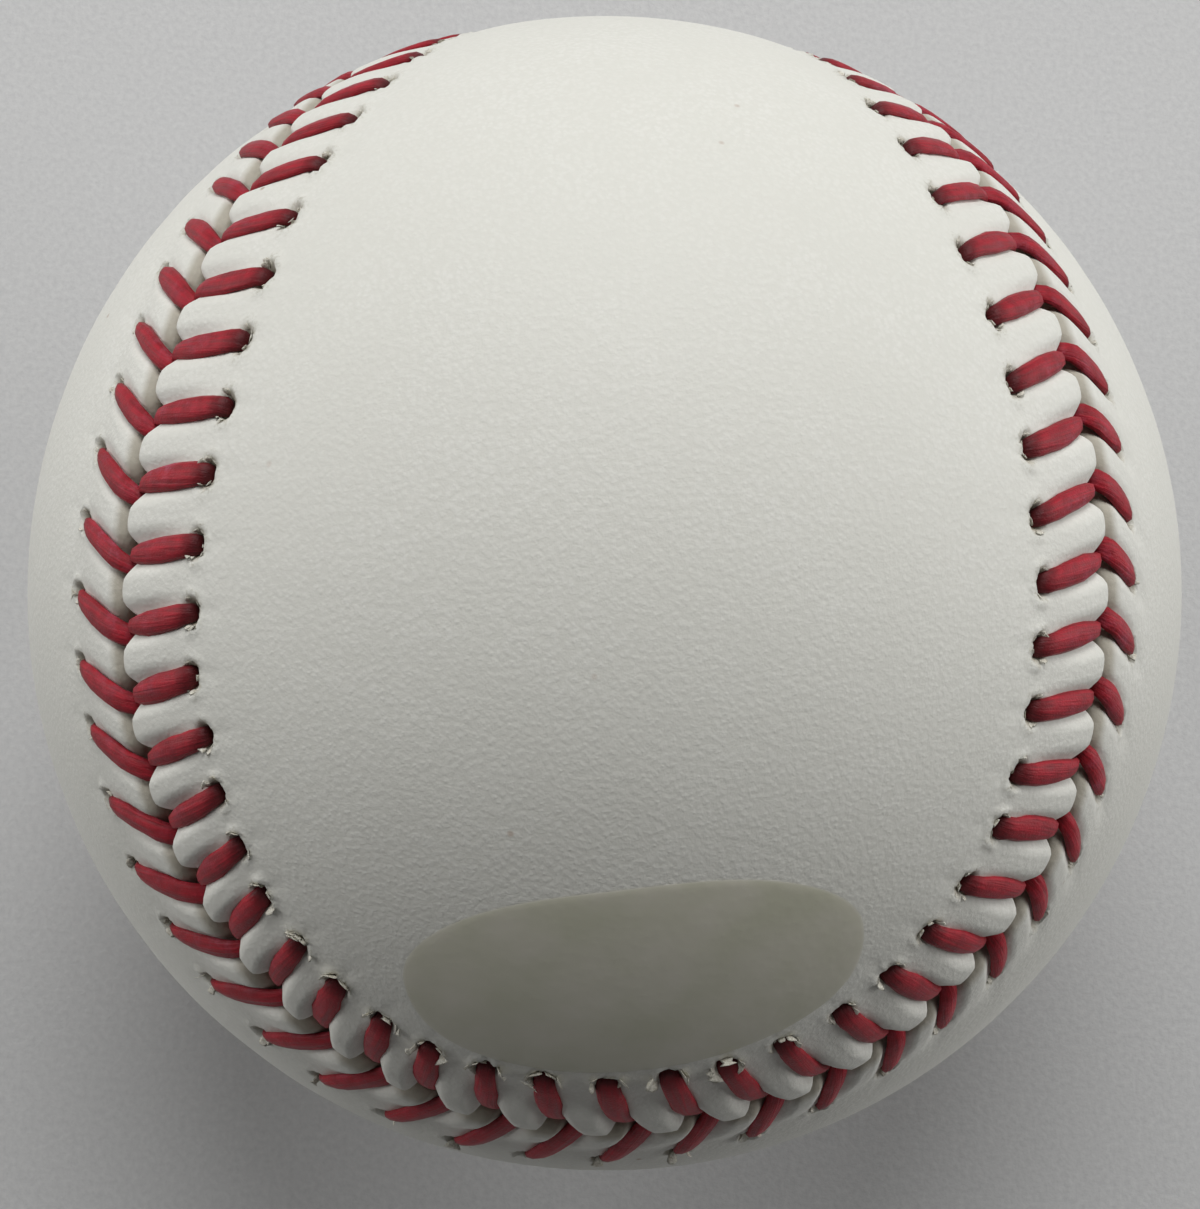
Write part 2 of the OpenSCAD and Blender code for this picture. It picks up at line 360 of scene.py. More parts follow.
def between_stitches(values, stitch):
    """A value of the stitches that runs smoothly from each to the next, halfway between them."""
    low = np.floor(stitch)
    blend = ease(stitch - low, 0.25, 0.75)
    return (1 - blend) * values(low) + blend * values(low + 1)


def mirrored(column, row, columns, tip_share):
    """The number of each point's mirror image across the spine."""
    mirror_sum = round(2 * (tip_share * STITCHES - FIRST_STITCH_SHARE) * COLUMNS_PER_STITCH)
    point_at = {(c % columns, r): i for i, (c, r) in enumerate(zip(column, row))}
    return np.array([point_at[((mirror_sum - c) % columns, r)] for c, r in zip(column, row)])


print(f"a panel has {COLUMNS_PER_STITCH * STITCHES} columns and {len(panel_plan()) - 1} rows of faces")


# %% One leather panel
def leather_panel(name, side, tip_share):
    """tip_share is the share of the seam at which it rounds one end of the panel."""
    columns = COLUMNS_PER_STITCH * STITCHES
    plan = panel_plan()
    bm, column, row = sheet(columns, len(plan) - 1)
    stitch = closer_to_legs(column / COLUMNS_PER_STITCH)
    number = np.rint(stitch)
    off_leg = (stitch - number) * PITCH / MM
    hole = hole_in(side, number) / MM
    leaning = between_stitches(lambda number: lean(side, number), stitch)
    hole_way = between_stitches(lambda number: hole_in(side, number), stitch)
    chance = rng.random(STITCHES)[number.astype(int) % STITCHES]
    edge = edge_in(side, off_leg)

    def at(here, inward):
        """Direction of points so far in from the seam, in mm, on their leaning columns."""
        share = np.minimum(inward, LEAN_END) * MM / hole_way[here]
        ahead = ahead_of_point(side, stitch[here], share, leaning[here])
        return beside_sewn_seam(stitch[here], ahead, side * inward * MM)

    def height(here, inward):
        return leather_height(side, stitch[here], off_leg[here], inward, hole[here], chance[here])

    # Each column meets its mirror image at the panel's spine.
    band_way = at(np.full(len(stitch), True), np.full(len(stitch), BAND_END))
    middle = unit(band_way + band_way[mirrored(column, row, columns, tip_share)])
    ways = np.zeros((len(stitch), 3))
    heights = np.zeros(len(stitch))
    raw_hide_and_shade, torn = np.zeros(len(stitch)), np.zeros(len(stitch))
    roll_r = EDGE_ROLL[side]
    for r, (kind, value) in enumerate(plan):
        here = row == r
        if kind in ("under", "spine"):
            ways[here] = unit(band_way[here] * (1 - value) + middle[here] * value)
            heights[here] = -LEATHER_T / MM if kind == "under" else height(here, BAND_END + SPINE_WAY * value)
        elif kind == "flat":
            ways[here] = at(here, np.full(here.sum(), value))
            heights[here] = -LEATHER_T / MM
        elif kind == "wall":
            ways[here] = at(here, edge[here] + WALL_OUT * (1 - value))
            low_edge = height(here, edge[here] + roll_r)
            heights[here] = -LEATHER_T / MM + (low_edge - roll_r + LEATHER_T / MM) * value
            # The cut edge is raw hide, and the dark beige is its own colour.
            raw_hide_and_shade[here] = 0.8
        elif kind == "roll":
            angle = math.radians(value)
            ways[here] = at(here, edge[here] + roll_r * (1 - math.cos(angle)))
            heights[here] = height(here, edge[here] + roll_r) - roll_r * (1 - math.sin(angle))
            # Down the rolled edge into the valley the dark beige is painted shade, fading out towards the
            # top.
            raw_hide_and_shade[here] = 0.6 * (1 - ease(value, *EDGE_SHADE_FADE[side]))
        else:
            first = edge[here] + roll_r
            inward = first + (BAND_END - first) * value / TOP_SPAN
            ways[here] = at(here, inward)
            heights[here] = height(here, inward)
            pit_way = way_to_pit(side, off_leg[here], inward, hole[here])
            # In and round each pit the dark beige is partly the raw hide and partly painted shade.
            raw_hide_and_shade[here] = np.exp(-((pit_way / 1.2) ** 4))
            torn[here] = np.exp(-(((pit_way - 1.4) / 0.55) ** 2)) * ease(inward, hole[here] - 1, hole[here])
    on_ball = ways * BALL_R
    nap = np.array([noise.noise(Vector(p) / (NAP_SIZE * MM)) for p in on_ball]) * NAP_RISE * torn
    heights += np.where(heights > -LEATHER_T / MM + 0.1, long_wave(ways) + nap, 0)
    places = ways * (BALL_R + heights[:, None] * MM)
    return finished(bm, name, places, {"raw_hide_and_shade": raw_hide_and_shade, "torn": torn})


# %% Make both panels
front_panel = leather_panel("leather_panel_front", FRONT, tip_share=0.25)
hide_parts("cover_panel_front")
back_panel = leather_panel("leather_panel_back", BACK, tip_share=0.0)
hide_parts("cover_panel_back")

# %% [markdown]
# ## The lacing
# A waxed thread comes up out of a hole, lies flat on the leather like a narrow leaf and dives into the
# valley, under the other panel. The two working ends take turns. A curve with a bevel would be as wide all
# along, so a leg is a small grid rolled up into a flattened tube that follows a plan of widths and heights.
# Its ends are drawn to a point out of sight, so that the tube is closed.

# %% Many tubes in one mesh
LEG_ROWS, LEG_SIDES = 12, 8


def many_tubes(count, rows, sides):
    """Flat grids to be rolled up, with each point's row along the tube and its place round it."""
    bm = bmesh.new()
    bm.loops.layers.uv.new("along_and_round")
    bmesh.ops.create_grid(bm, x_segments=rows, y_segments=sides, size=1, calc_uvs=True)
    flat = np.array([v.co[:2] for v in bm.verts])
    along, round_ = (np.rint((flat[:, i] + 1) / 2 * n).astype(int) for i, n in enumerate((rows, sides)))
    seed = bm.verts[:] + bm.edges[:] + bm.faces[:]
    for _ in range(count - 1):
        bmesh.ops.duplicate(bm, geom=seed)
    return bm, along, round_


# %% The plan of a leg
LEG_PLAN = {
    # share of the way to the hole, height in mm of the thread's middle over the leather, half width in mm
    FRONT: [
        (-0.08, -1.0, 0.3), (-0.03, -0.75, 0.38), (0.03, -0.42, 0.36), (0.12, -0.08, 0.45),
        (0.26, 0.15, 0.58), (0.42, 0.2, 0.69), (0.58, 0.2, 0.73), (0.72, 0.18, 0.7), (0.84, 0.14, 0.66),
        (0.93, 0.04, 0.62), (0.985, -0.2, 0.56), (1.01, -0.5, 0.48), (1.02, -0.8, 0.1)],
    BACK: [
        (-0.16, -1.05, 0.3), (-0.12, -0.75, 0.42), (-0.05, -0.35, 0.56), (0.06, -0.02, 0.68),
        (0.2, 0.16, 0.75), (0.37, 0.2, 0.78), (0.54, 0.19, 0.77), (0.68, 0.17, 0.7), (0.8, 0.14, 0.58),
        (0.89, 0.07, 0.46), (0.96, -0.15, 0.33), (1.0, -0.5, 0.22), (1.02, -0.8, 0.1)],
}
THREAD_HALF_T = 0.27
LEG_UP = {FRONT: 0.0, BACK: 0.04}  # mm that a leg lies higher than its plan
BOW = {FRONT: 0.08, BACK: 0.0}  # mm by which a leg bends ahead on its way, on average
FLATTENED = 0.8  # power that makes the round section a little square
print(f"a leg has {LEG_ROWS * LEG_SIDES} faces and is {2 * THREAD_HALF_T} mm thick")


# %% One working end, and then both
def lacing(name, first):
    """Every second stitch from the first, two legs each."""
    legs = [(k, side) for k in range(first, STITCHES, 2) for side in (FRONT, BACK)]
    bm, along, round_ = many_tubes(len(legs), LEG_ROWS, LEG_SIDES)
    places, dust_and_highlight_amounts, ends = [], [], []
    angle = round_ / LEG_SIDES * 2 * math.pi
    beside = np.sign(np.cos(angle)) * np.abs(np.cos(angle)) ** FLATTENED
    above = np.sign(np.sin(angle)) * np.abs(np.sin(angle)) ** FLATTENED
    closing = np.where((along == 0) | (along == LEG_ROWS), 0.0, 1.0)
    for k, side in legs:
        stitch = np.full(len(along), float(k))
        share, lift, half_width = np.array(LEG_PLAN[side])[along].T
        wide = rng.uniform(0.92, 1.08) * (1 + rng.normal(0, 0.035, LEG_ROWS + 1))[along]
        bow = rng.normal(BOW[side], 0.07) * np.sin(np.pi * np.clip(share, 0, 1))
        inward = side * share * hole_in(side, k) / MM
        middle = ahead_of_point(side, stitch, share, float(lean(side, k)))
        ahead = middle / MM + bow + beside * half_width * wide * closing
        up = above * THREAD_HALF_T * closing
        height = sink(side, stitch, np.abs(inward)) + lift + up + LEG_UP[side]
        way = beside_sewn_seam(stitch, ahead * MM, inward * MM)
        places.append(way * (BALL_R + height[:, None] * MM))
        # Tight legs lie deeper and get less of the pale pink top, which is partly dust and partly painted
        # highlight.
        dust_and_highlight_amounts.append(np.full(len(along), rng.random() * (1 - 1.5 * float(tightness(k)))))
        ends.append(share)
    layers = {"dust_and_highlight": np.concatenate(dust_and_highlight_amounts), "to_hole": np.concatenate(ends)}
    return finished(bm, name, np.concatenate(places), layers)


lacing_one = lacing("waxed_lacing_one", 0)
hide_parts("lacing_strand_one")
lacing_two = lacing("waxed_lacing_two", 1)
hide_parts("lacing_strand_two")

# %% [markdown]
# ## Torn rims
# The needle and the thick thread tear the rims of the holes, and shreds of leather stand up round them. Hair
# would be too thin and too even. A shred is a small flat tube, closed at both ends, that rises from the rim
# and bends away from the hole, and its size, place and bend are drawn by chance.

# %% Shreds round the holes
SHRED_ROWS, SHRED_SIDES = 4, 6
SHREDS_AT_HOLE = {FRONT: 6, BACK: 2}
SHRED_HALF_T = 0.035


def torn_shreds(name):
    holes = [(k, side) for side in (FRONT, BACK) for k in range(STITCHES)]
    homes = [(k, side) for k, side in holes for _ in range(SHREDS_AT_HOLE[side])]
    bm, along, round_ = many_tubes(len(homes), SHRED_ROWS, SHRED_SIDES)
    closing = np.where((along == 0) | (along == SHRED_ROWS), 0.0, 1.0)
    angle = round_ / SHRED_SIDES * 2 * math.pi
    share = along / SHRED_ROWS
    places = []
    for k, side in homes:
        rim_way = math.radians(rng.uniform(-50, 230))  # where it grows: never on the side of the leg
        large = 0.8 + 1.1 * float(tightness(k))
        length, width = rng.uniform(0.3, 0.7) * large, rng.uniform(0.12, 0.3) * large
        ragged = 1 + rng.normal(0, 0.3, SHRED_ROWS + 1)[along]
        across = np.cos(angle) * width * ragged * closing
        thick = np.sin(angle) * SHRED_HALF_T * closing
        outward = 0.95 + share * length * rng.uniform(0.5, 1.2) + thick
        ahead = PIT[side][0] * outward * math.cos(rim_way) - across * math.sin(rim_way)
        inward = PIT[side][1] * outward * math.sin(rim_way) + across * math.cos(rim_way)
        height = -0.3 + length * np.sin(share * rng.uniform(1.3, 2.2)) * rng.uniform(0.7, 1.1)
        hole = hole_in(side, k) / MM
        way = beside_sewn_seam(np.full(len(along), float(k)), ahead * MM - lean(side, k),
                               side * (hole + inward) * MM)
        places.append(way * (BALL_R + (height + sink(side, float(k), hole))[:, None] * MM))
    return finished(bm, name, np.concatenate(places))


shreds = torn_shreds("torn_shreds")

# %% [markdown]
# ## The film label
# A thin pearly film, oval and a little uneven at its edge, is stuck on the front panel near the seam. It
# could be painted into the leather's finish, but a film has an edge and lies over the grain. Its grid has
# the middle of the underside in the first row, the edge halfway and the middle of the top in the last row.
# Being stuck down, it follows the leather.

# %% The oval film
LABEL_MIDDLE = unit(np.array([0.05, -0.723, 0.687]))
LABEL_LONG = np.array([0.984, 0.16, 0.084])
LABEL_HALF = (12.8, 6.6)
LABEL_T = 0.03
LABEL_OVER = 0.03  # a hair over the leather, so that no face of the leather comes through
OVAL = 2.25  # power of the oval: 2 is an ellipse, and more has fuller corners


def film_label(name):
    columns, rows = 120, 24
    bm, column, row = sheet(columns, rows)
    angle = column / columns * 2 * math.pi
    out = np.where(row <= rows // 2, row / (rows // 2), (rows - row) / (rows // 2))
    out = np.where(row <= rows // 2, out, 1 - (1 - out) ** 1.6)
    long_way = unit(LABEL_LONG - LABEL_LONG @ LABEL_MIDDLE * LABEL_MIDDLE)
    short_way = np.cross(LABEL_MIDDLE, long_way)
    uneven = 1 + 0.006 * np.sin(3 * angle + 1) + 0.004 * np.sin(7 * angle)
    c, s = np.cos(angle), np.sin(angle)
    radius = (np.abs(c) ** OVAL + np.abs(s) ** OVAL) ** (-1 / OVAL)
    x = (radius * c * out * uneven * LABEL_HALF[0])[:, None]
    y = (radius * s * out * uneven * LABEL_HALF[1])[:, None]
    way = unit(LABEL_MIDDLE * BALL_R / MM + x * long_way + y * short_way)
    nearest = np.array([np.max(seam_points @ w) for w in way])
    inward = np.arccos(np.clip(nearest, -1, 1)) * BALL_R / MM
    height = strip(inward) + long_wave(way) + LABEL_OVER
    height += np.where(row <= rows // 2, 0, LABEL_T * ease(1 - out, 0, 0.03))
    places = way * (BALL_R + height[:, None] * MM)
    return finished(bm, name, places, {"to_edge": out}, crease=60)


label = film_label("film_label")

# %% [markdown]
# ## Writing finishes
# A finish is a small net of nodes. Photographs laid on the pieces would need unfolding and would blur up
# close, so all patterns are worked out from the place on the object. The class Wire wraps one socket, so
# that sums of textures can be written as plain sums, and Finish.node adds any node in one line.

# %% Wire
class Wire:
    """A socket that can stand in a sum."""

    def __init__(self, finish, socket):
        self.finish, self.socket = finish, socket

    def math(self, operation, *values):
        return self.finish.node("ShaderNodeMath", {"operation": operation}, values)

    def __add__(self, other):
        return self.math("ADD", self, other)

    def __rsub__(self, other):
        return self.math("SUBTRACT", other, self)

    def __mul__(self, other):
        return self.math("MULTIPLY", self, other)

    __radd__, __rmul__ = __add__, __mul__

    def sine(self):
        return self.math("SINE", self)

    def range(self, low, high, start=0.0, end=1.0):
        """start where the value is low, end where it is high."""
        return self.finish.node("ShaderNodeMapRange", {}, [self, low, high, start, end])


# %% Finish
class Finish:
    """A material with one surface, and the coordinates of the object in metres."""

    def __init__(self, name, **surface):
        self.material = bpy.data.materials.new(name)
        self.material.use_nodes = True
        self.tree = self.material.node_tree
        self.tree.nodes.clear()
        self.surface = self.tree.nodes.new("ShaderNodeBsdfPrincipled")
        out = self.tree.nodes.new("ShaderNodeOutputMaterial")
        self.tree.links.new(self.surface.outputs[0], out.inputs[0])
        for key, value in surface.items():
            self.surface.inputs[key.replace("_", " ")].default_value = value
        self.place = self.node("ShaderNodeTexCoord", {}, {}, "Object")

    def node(self, kind, settings, values, output=0):
        node = self.tree.nodes.new(kind)
        for key, value in settings.items():
            setattr(node, key, value)
        pairs = values.items() if isinstance(values, dict) else enumerate(values)
        for key, value in pairs:
            if isinstance(value, Wire):
                self.tree.links.new(value.socket, node.inputs[key])
            else:
                node.inputs[key].default_value = value
        return Wire(self, node.outputs[output])

    def noise(self, grain, detail=3.0, rough=0.5):
        """Soft noise with grains of about that size in mm."""
        values = {"Vector": self.place, "Scale": 1 / (grain * MM), "Detail": detail, "Roughness": rough}
        return self.node("ShaderNodeTexNoise", {}, values)

    def cells(self, size, feature="F1", output="Distance"):
        """Distance in cells of about that size in mm, or to their edges, or a colour for each cell."""
        values = {"Vector": self.place, "Scale": 1 / (size * MM)}
        return self.node("ShaderNodeTexVoronoi", {"feature": feature}, values, output)

    def part(self, vector, axis):
        """One of a vector's three numbers."""
        return self.node("ShaderNodeSeparateXYZ", {}, {0: vector}, axis)

    def attribute(self, name):
        return self.node("ShaderNodeAttribute", {"attribute_name": name}, {}, "Fac")

    def mix(self, share, low, high):
        """The colour low where share is 0 and high where it is 1."""
        low, high = ((*c, 1) if isinstance(c, tuple) else c for c in (low, high))
        return self.node("ShaderNodeMix", {"data_type": "RGBA"}, {0: share, 6: low, 7: high}, 2)

    def bumps(self, height, depth, strength=1.0):
        """height is 0 to 1, and depth what that comes to, in mm."""
        values = {"Strength": strength, "Distance": depth * MM, "Height": height}
        return self.node("ShaderNodeBump", {}, values, "Normal")

    def set(self, **wires):
        for key, wire in wires.items():
            self.tree.links.new(wire.socket, self.surface.inputs[key.replace("_", " ")])
        return self.material


# %% Putting a finish on a piece
def paint(thing, material):
    thing.data.materials.clear()
    thing.data.materials.append(material)
    print(f"{thing.name} wears {material.name}")


# %% [markdown]
# ## Leather
# Tawed white horsehide or cowhide: matt, with a fine pebble grain, a few specks of rust-brown dust and
# soft grey patches. On the cut edge the raw hide is a dark beige. In the pits the same dark beige is partly
# raw hide and partly painted shade, and down the rolled edge into the valley it is painted shade. The grain
# is too fine for the mesh, so it is a bump, while two values of each point say where the dark beige lies and
# where the rims are torn.

# %% Leather
def leather_finish():
    f = Finish("white_leather", Specular_IOR_Level=0.3)
    patches = f.noise(6, 4).range(0.35, 0.65)
    grain = f.cells(0.3, "SMOOTH_F1")
    fine = f.noise(0.13, 3, 0.65)
    pebble = grain.range(0.1, 0.6, 1, 0) * 0.4 + fine * 0.6
    clean = f.mix(patches, (0.705, 0.70, 0.645), (0.735, 0.73, 0.68))
    grained = f.mix(pebble.range(0.35, 0.65), (0.69, 0.685, 0.63), clean)
    specks = f.cells(4.5).range(0.02, 0.05, 1, 0) * f.noise(9, 1).range(0.5, 0.56)
    specked = f.mix(specks * 0.6, grained, (0.32, 0.16, 0.08))
    raw_hide_and_shade = f.attribute("raw_hide_and_shade")
    torn = f.attribute("torn")
    fibres = f.noise(0.25, 4, 0.7)
    napped = f.mix(torn * fibres.range(0.5, 0.65, 0, 0.5), specked, (0.3, 0.27, 0.17))
    dark_beige = f.mix(f.noise(0.5, 4), (0.2, 0.165, 0.105), (0.42, 0.37, 0.27))
    # Dark beige: raw hide on the cut edge, painted shade down the rolled edge, and both in the pits.
    colour = f.mix(raw_hide_and_shade.range(0.05, 0.9), napped, dark_beige)
    rough = fine.range(0.3, 0.7, 0.5, 0.66)
    relief = pebble * (1 - torn * 0.7) + f.noise(1.6, 2) * 0.5 + fibres * torn * 2
    normal = f.bumps(relief, 0.045, 0.8)
    return f.set(Base_Color=colour, Roughness=rough, Normal=normal)


# %% Torn leather
def shred_finish():
    f = Finish("torn_leather", Specular_IOR_Level=0.15)
    fibres = f.noise(0.12, 4, 0.7)
    colour = f.mix(fibres.range(0.35, 0.65), (0.5, 0.47, 0.38), (0.82, 0.8, 0.72))
    rough = fibres.range(0.3, 0.7, 0.75, 0.95)
    return f.set(Base_Color=colour, Roughness=rough, Normal=f.bumps(fibres, 0.05))


leather = leather_finish()
paint(front_panel, leather)
paint(back_panel, leather)
paint(shreds, shred_finish())

# %% [markdown]
# ## Thread
# Four strands of cotton, twisted, dyed crimson and waxed. Pulled tight it lies flat, and its top is pale pink
# in
# patches: partly leather dust and wax, partly a painted highlight. Towards the hole it is darker, painted
# shade where it dives in, and its strands show. The strands follow each leg, so they are worked out from its
# own map, and the pale patches from the object's coordinates.

# %% Waxed thread
def thread_finish():
    f = Finish("red_thread", Specular_IOR_Level=0.22, Sheen_Weight=0.04, Sheen_Roughness=0.5)
    uv = f.node("ShaderNodeUVMap", {"uv_map": "along_and_round"}, {})
    along, round_ = f.part(uv, 0), f.part(uv, 1)
    strand_place = {0: along * 3, 1: round_ * 22 + along * 4, 2: f.attribute("dust_and_highlight") * 20}
    twisted = f.node("ShaderNodeCombineXYZ", {}, strand_place)
    strand_values = {"Vector": twisted, "Scale": 1.0, "Detail": 2.0, "Roughness": 0.55}
    strands = f.node("ShaderNodeTexNoise", {}, strand_values)
    fuzz = f.noise(0.12, 2, 0.6)
    deep = f.mix(strands.range(0.35, 0.65), (0.24, 0.006, 0.013), (0.38, 0.012, 0.025))
    patches = f.noise(0.9, 4, 0.65).range(0.45, 0.68)
    top = round_.range(0.05, 0.45)
    to_hole = f.attribute("to_hole")
    wet = f.mix(0.4, deep, (0.11, 0.003, 0.008))
    blotched = f.mix(f.noise(0.7, 3).range(0.35, 0.6), wet, deep)
    # The pale pink on the thread's top is partly dust and wax and partly a painted highlight.
    dust_and_highlight_mask = patches * f.attribute("dust_and_highlight").range(0, 1, 0.3, 0.95) * to_hole.range(0.8, 0.55) * top
    with_dust_and_highlight = f.mix(dust_and_highlight_mask * fuzz.range(0.3, 0.6, 0.2, 0.75), blotched, (0.46, 0.11, 0.17))
    # Near black where the leg dives into its hole: painted shade in the pit.
    colour = f.mix(to_hole.range(0.82, 1.0, 0, 0.85), with_dust_and_highlight, (0.035, 0.004, 0.005))
    rough = strands.range(0.3, 0.7, 0.42, 0.6)
    normal = f.bumps(strands * 0.8 + fuzz * 0.4, 0.09, 0.9)
    return f.set(Base_Color=colour, Roughness=rough, Normal=normal)


thread = thread_finish()
paint(lacing_one, thread)
paint(lacing_two, thread)

# %% [markdown]
# ## Film
# Clear film over a pearly layer: smoother than the leather and a little warmer, with the grain below it
# just to be seen. A thin coat gives it the shine, which is softer and cheaper than a second clear sheet.

# %% Pearly film
def film_finish():
    f = Finish("film", Specular_IOR_Level=0.5, Coat_Roughness=0.25)
    cloud = f.noise(3, 3).range(0.3, 0.7)
    pearl = f.mix(cloud, (0.475, 0.47, 0.365), (0.54, 0.52, 0.435))
    grain = f.cells(0.5, "SMOOTH_F1").range(0.1, 0.6, 1, 0)
    normal = f.bumps(grain * 0.4 + f.noise(2.2, 2), 0.03, 0.5)
    # The pale line round the film's rim is a painted highlight.
    edge = f.attribute("to_edge").range(0.985, 1.0)
    colour = f.mix(edge * 0.3, pearl, (0.68, 0.67, 0.63))
    rough, coat = cloud.range(0, 1, 0.36, 0.46), cloud.range(0, 1, 0.1, 0.25)
    return f.set(Base_Color=colour, Roughness=rough, Coat_Weight=coat, Normal=normal)


paint(label, film_finish())

# %% [markdown]
# ## The layers inside
# The solids of the model already have the right shapes, so they only get finishes: pressed cork granules,
# moulded rubber and tightly wound yarn. Yarn on a ball crosses itself in all directions. Winding it as real
# curves would take kilometres of thread that nobody sees, and two sets of fine bands, turned against each
# other, show it well.

# %% Cork
def cork_finish():
    f = Finish("cork", Specular_IOR_Level=0.25)
    granule = 1.8
    tone = f.part(f.cells(granule, output="Color"), 0)
    pale = f.mix(tone, (0.3, 0.17, 0.08), (0.58, 0.4, 0.22))
    mottled = f.mix(f.noise(0.3) * 0.4, pale, (0.2, 0.1, 0.05))
    joints = f.cells(granule, "DISTANCE_TO_EDGE").range(0, 0.08, 1, 0)
    colour = f.mix(joints * 0.8, mottled, (0.1, 0.05, 0.03))
    return f.set(Base_Color=colour, Roughness=f.noise(0.5).range(0.3, 0.7, 0.75, 0.95),
                 Normal=f.bumps(f.cells(granule) + f.noise(0.4) * 0.5, 0.2))


# %% Moulded rubber
def rubber_finish(name, dark, pale):
    f = Finish(name, Specular_IOR_Level=0.4)
    bloom = f.noise(4, 5, 0.6).range(0.4, 0.7)
    grit = f.noise(0.3, 3)
    colour = f.mix(grit.range(0.5, 0.75, 0, 0.4), f.mix(bloom * 0.7, dark, pale), pale)
    return f.set(Base_Color=colour, Roughness=grit.range(0.3, 0.7, 0.5, 0.75),
                 Normal=f.bumps(grit + f.noise(1.2), 0.06))


# %% Wound yarn
def yarn_finish(name, strand, dark, pale):
    """Yarn wound in strands of that width in mm."""
    f = Finish(name, Specular_IOR_Level=0.15, Sheen_Weight=0.3, Sheen_Roughness=0.6)

    def winding(turned):
        """Bands that lie square to the turned X axis."""
        values = {"Vector": f.place, "Rotation": turned}
        turned_place = f.node("ShaderNodeVectorRotate", {"rotation_type": "EULER_XYZ"}, values)
        wobble = f.noise(9, 1) * 1.8
        return (f.part(turned_place, 0) * (2 * math.pi / (strand * MM)) + wobble).sine()

    bands = f.noise(5, 2).range(0.47, 0.53)
    one, two = winding((0.3, 1.1, 0.0)), winding((1.9, 0.2, 0.8))
    height = one * bands + two * (1 - bands)
    wool = f.noise(0.25, 4, 0.7)
    shade = (height * 0.35 + wool * 0.9).range(0, 1)
    return f.set(Base_Color=f.mix(shade, dark, pale), Roughness=wool.range(0.3, 0.7, 0.8, 0.98),
                 Normal=f.bumps(height * 0.5 + wool * 0.5, strand * 0.35))


# %% Finishes for the inner pieces
inside = {
    "cork_core": cork_finish(),
    "black_rubber_shell_top": rubber_finish("black_rubber", (0.022, 0.022, 0.024), (0.06, 0.058, 0.055)),
    "rubber_washer": rubber_finish("red_rubber", (0.38, 0.05, 0.035), (0.55, 0.14, 0.1)),
    "first_winding": yarn_finish("grey_wool", 1.5, (0.2, 0.2, 0.2), (0.5, 0.49, 0.47)),
    "second_winding": yarn_finish("white_wool", 1.1, (0.5, 0.48, 0.43), (0.82, 0.8, 0.75)),
    "finishing_winding": yarn_finish("fine_yarn", 0.4, (0.36, 0.31, 0.22), (0.62, 0.57, 0.46)),
}
inside["black_rubber_shell_bottom"] = inside["black_rubber_shell_top"]
inside["red_rubber_layer"] = inside["rubber_washer"]
inside["third_winding"] = inside["first_winding"]
for node_name, material in inside.items():
    paint(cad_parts[node_name], material)

# %% [markdown]
# ## The table
# The ball lies on a pale grey cloth, whose weave can only just be seen. A flat grid is enough for it.

# %% A cloth on the table
def cloth_finish():
    f = Finish("grey_cloth", Specular_IOR_Level=0.1)
    weave = f.noise(0.5, 3, 0.6)
    colour = f.mix(weave.range(0.3, 0.7), (0.5, 0.5, 0.5), (0.57, 0.57, 0.565))
    rough = weave.range(0.3, 0.7, 0.85, 1.0)
    return f.set(Base_Color=colour, Roughness=rough, Normal=f.bumps(weave, 0.08, 0.6))


FLOOR_HALF = 0.36
floor_bm = bmesh.new()
bmesh.ops.create_grid(floor_bm, x_segments=8, y_segments=8, size=FLOOR_HALF)
floor_mesh = bpy.data.meshes.new("floor")
floor_bm.to_mesh(floor_mesh)
floor_bm.free()
floor = bpy.data.objects.new("floor", floor_mesh)
bpy.context.scene.collection.objects.link(floor)
floor.location = (0, 0, -BALL_R)
paint(floor, cloth_finish())

# %% [markdown]
# ## The room
# The room gives little light, but it looks pale to the camera and in reflections. One strength for both
# would either flatten the ball's shadows or leave the background dark, so the kind of ray chooses.

# %% A pale room
ROOM_LEVEL = 0.028
ROOM_SEEN = 0.5
world = bpy.data.worlds.new("soft_room")
bpy.context.scene.world = world
world.use_nodes = True
background = world.node_tree.nodes["Background"]
background.inputs["Color"].default_value = (1, 1, 1, 1)
room_nodes, join = world.node_tree.nodes, world.node_tree.links.new


def larger(one, two):
    """The larger value of two sockets."""
    node = room_nodes.new("ShaderNodeMath")
    node.operation = "MAXIMUM"
    join(one, node.inputs[0])
    join(two, node.inputs[1])
    return node.outputs[0]


rays = room_nodes.new("ShaderNodeLightPath").outputs
seen = larger(larger(rays["Is Camera Ray"], rays["Is Glossy Ray"]), rays["Is Transmission Ray"])
level = room_nodes.new("ShaderNodeMapRange")
level.inputs["To Min"].default_value = ROOM_LEVEL
level.inputs["To Max"].default_value = ROOM_SEEN
join(seen, level.inputs["Value"])
join(level.outputs["Result"], background.inputs["Strength"])
print(f"the room gives {ROOM_LEVEL} and looks like {ROOM_SEEN}")

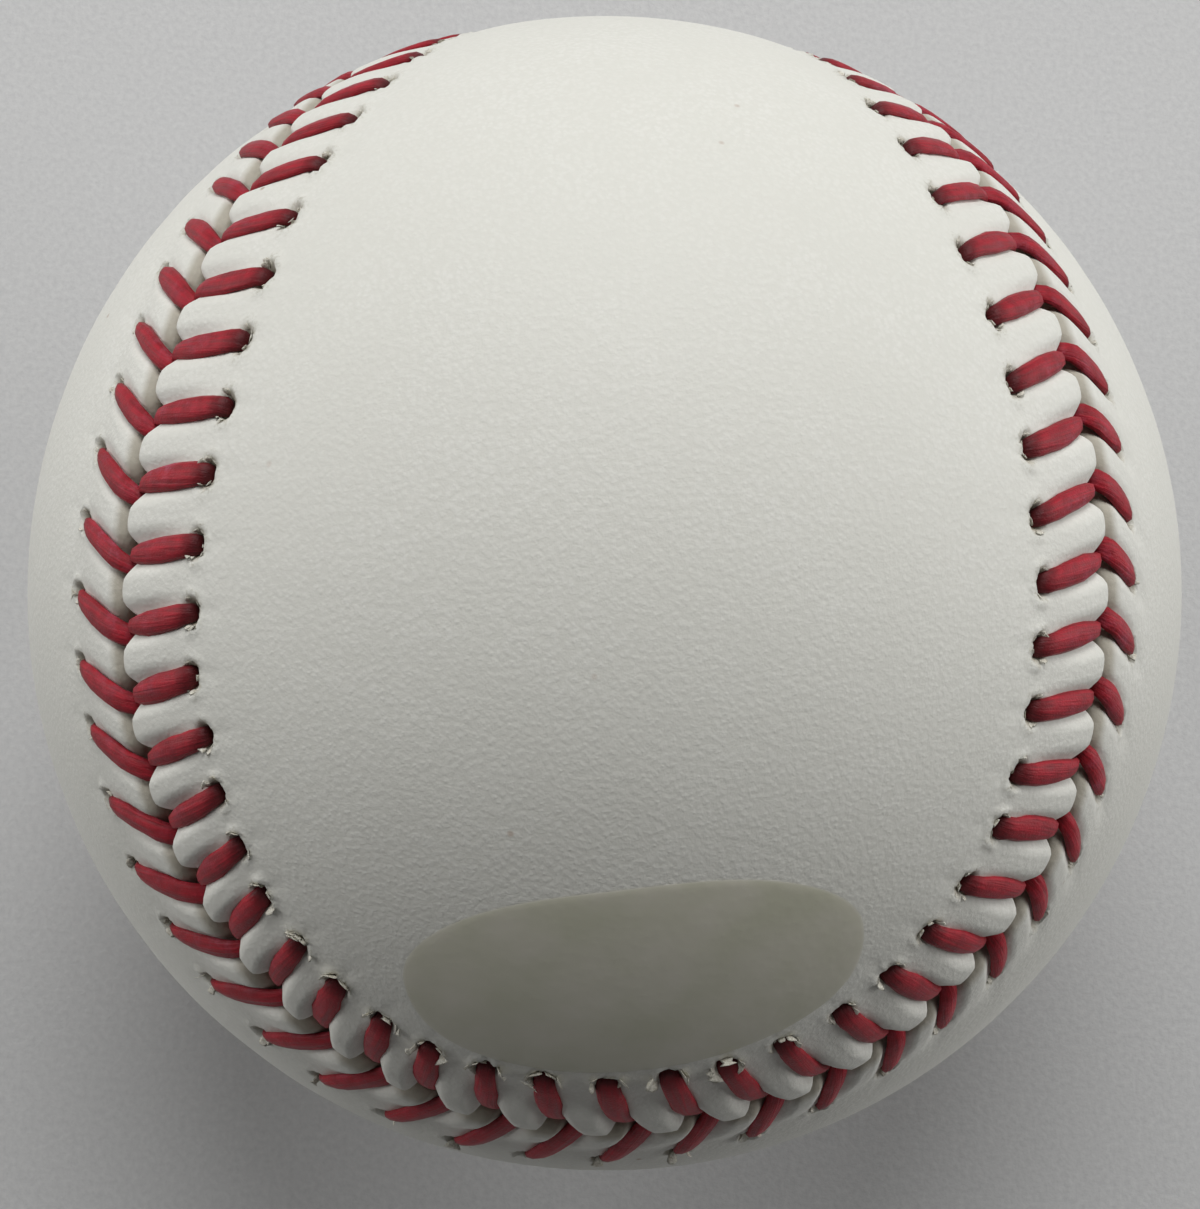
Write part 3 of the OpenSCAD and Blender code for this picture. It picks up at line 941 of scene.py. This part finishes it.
# %% [markdown]
# ## The lamps
# A wide soft lamp beyond the ball and above it is the window. Two large pale ones at the sides stand for
# walls that throw its light back, and a very weak one in front keeps the near side from going black. Real
# walls would do the same, but with more noise in the picture.

# %% Four soft lamps
LAMPS = {
    # name: place and size in metres, power in watts
    "window": ((0.0, 0.27, 0.375), 0.3, 1.53),
    "left_wall": ((-0.42, 0.1, 0.16), 0.4, 0.98),
    "front_wall": ((0.0, -0.42, 0.04), 0.3, 0.04),
    "right_wall": ((0.42, 0.1, 0.16), 0.4, 1.12),
}


def soft_lamp(name, place, size, power):
    """A round lamp that looks at the ball."""
    lamp = bpy.data.lights.new(name, "AREA")
    lamp.shape = "DISK"
    lamp.size = size
    lamp.energy = power
    body = bpy.data.objects.new(name, lamp)
    bpy.context.scene.collection.objects.link(body)
    body.location = place
    body.rotation_euler = (-Vector(place)).to_track_quat("-Z", "Y").to_euler()


for lamp_name, (place, size, power) in LAMPS.items():
    soft_lamp(lamp_name, place, size, power)
print("lamps:", ", ".join(LAMPS))

# %% [markdown]
# ## The camera
# It looks down on the ball from nearly straight above, turned by a degree or two. Its place and its turn
# come from the stitches: they were shifted until all stitches of the seam lay where they should.

# %% Camera
CAMERA_PLACE = (-0.00287, -0.03071, 0.13275)
CAMERA_RIGHT = Vector((0.99884, 0.03880, 0.02844))
CAMERA_UP = Vector((-0.0441, 0.97467, 0.21928))
LENS = 60.95
camera = bpy.data.objects.new("camera", bpy.data.cameras.new("camera"))
bpy.context.scene.collection.objects.link(camera)
back = CAMERA_RIGHT.cross(CAMERA_UP).normalized()
up = back.cross(CAMERA_RIGHT).normalized()
turn = Matrix((CAMERA_RIGHT, up, back)).transposed().to_4x4()
camera.matrix_world = Matrix.Translation(CAMERA_PLACE) @ turn
camera.data.sensor_width = 36
camera.data.lens = LENS
camera.data.clip_start = 0.005
camera.data.clip_end = 10
bpy.context.scene.camera = camera
bpy.context.scene.view_settings.view_transform = "Standard"
print(f"camera {Vector(CAMERA_PLACE).length / MM:.0f} mm from the middle of the ball, lens {LENS} mm")
